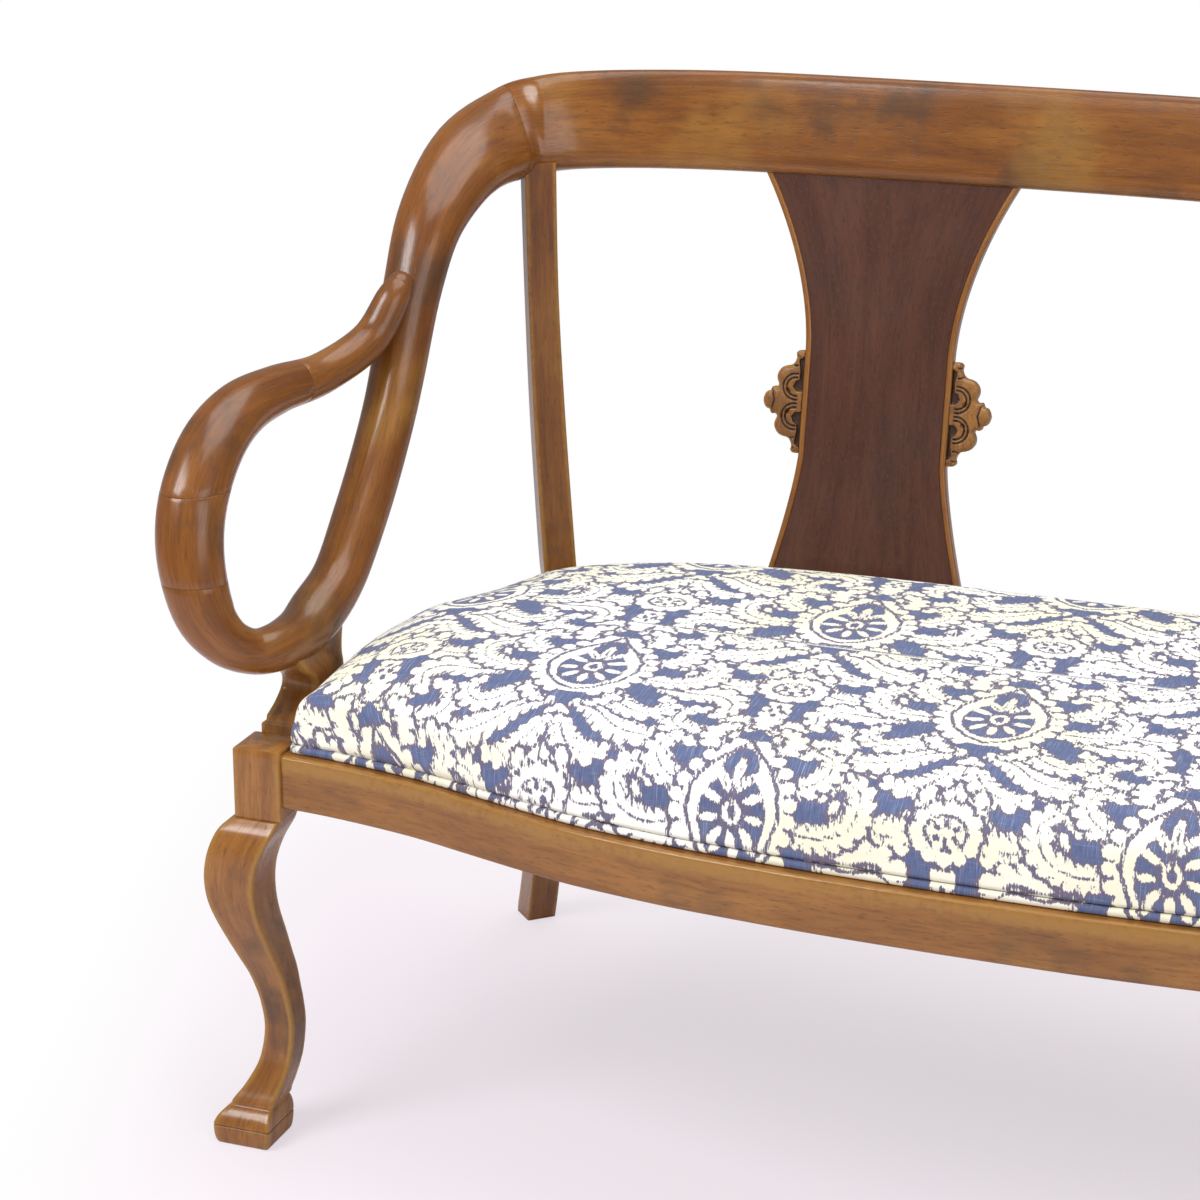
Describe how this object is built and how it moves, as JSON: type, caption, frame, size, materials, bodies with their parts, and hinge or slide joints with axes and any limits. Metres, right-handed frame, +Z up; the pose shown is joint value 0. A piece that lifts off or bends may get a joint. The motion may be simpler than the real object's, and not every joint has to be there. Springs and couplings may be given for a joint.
{
  "type": "settee",
  "caption": "Open-back settee with scroll arms flowing out of the crest rail, vase splats, a domed upholstered seat, cabriole front legs and swept rear legs.",
  "frame": {"origin": "centre of the bounding box on the floor, below the middle of the settee", "axes": "+X along the length to the sitter's left, -Y out of the front, +Z up"},
  "size_m": [1.5224, 0.7349, 0.9303],
  "materials": {
    "walnut": "satin, wiped stain and varnish",
    "dark_veneer": "satin, dark mahogany",
    "banding": "satin, light strip",
    "carved_wood": "satin, carved",
    "block_wood": "plain, unfinished",
    "screw_steel": "plain, slotted",
    "webbing": "woven jute",
    "hessian": "plain woven",
    "padding": "foam and wadding",
    "damask": "printed linen blend, slate blue on cream",
    "dust_cloth": "thin black lining"
  },
  "bodies": {
    "root": {"crest_rail": "walnut", "left_stile": "walnut", "right_stile": "walnut", "left_scroll": "walnut", "right_scroll": "walnut", "left_upper_arm": "walnut", "right_upper_arm": "walnut", "left_arm_tip": "walnut", "right_arm_tip": "walnut", "left_arm_support": "walnut", "right_arm_support": "walnut", "left_front_leg": "walnut", "right_front_leg": "walnut", "left_rear_leg": "walnut", "right_rear_leg": "walnut", "front_rail": "walnut", "rear_rail": "walnut", "left_side_rail": "walnut", "right_side_rail": "walnut", "corner_blocks": "block_wood", "corner_screws": "screw_steel", "left_splat": "walnut", "right_splat": "walnut", "left_splat_veneer": "dark_veneer", "right_splat_veneer": "dark_veneer", "left_splat_banding": "banding", "right_splat_banding": "banding", "left_splat_ears": "carved_wood", "right_splat_ears": "carved_wood", "long_webbing": "webbing", "cross_webbing": "webbing", "hessian": "hessian", "seat_foam": "padding", "seat_cover": "damask", "seat_welt": "damask", "dust_cover": "dust_cloth"}
  },
  "joints": []
}
